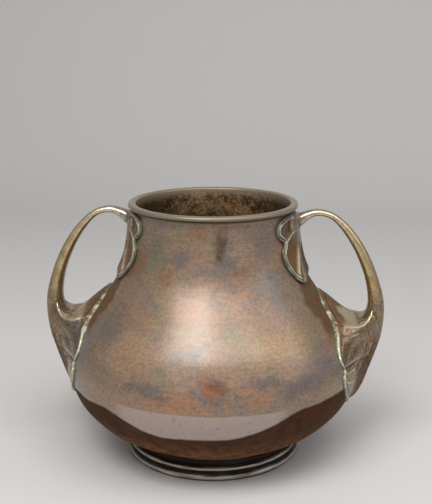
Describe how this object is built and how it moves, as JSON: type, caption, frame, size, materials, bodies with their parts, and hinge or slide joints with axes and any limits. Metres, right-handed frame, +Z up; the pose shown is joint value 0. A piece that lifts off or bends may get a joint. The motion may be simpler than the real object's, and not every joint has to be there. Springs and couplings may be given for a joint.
{
  "type": "bronze two-handled vase",
  "caption": "Round-bellied hollow bronze vase with a wide neck, rolled rim, turned foot ring and cast leaf handles that loop from under the rim to the belly.",
  "frame": {"origin": "centre of the foot ring's underside, on the surface the vase stands on", "axes": "+Z up along the vase's axis, +X through the right handle, and Y across the handles"},
  "size_m": [0.2926, 0.2486, 0.22],
  "materials": {
    "body_bronze": "worn brown patina over bronze, semi-gloss, with reddish, olive and grey-green patches",
    "foot_bronze": "dark grey-green patina, rubbed pale on the beads",
    "handle_bronze": "brassy bronze on the rubbed faces, dark brown in the hollows, pale verdigris round the leaf edges"
  },
  "bodies": {
    "root": {"vase_body": "body_bronze", "foot_ring": "foot_bronze", "handle_right": "handle_bronze", "handle_left": "handle_bronze"}
  },
  "joints": []
}
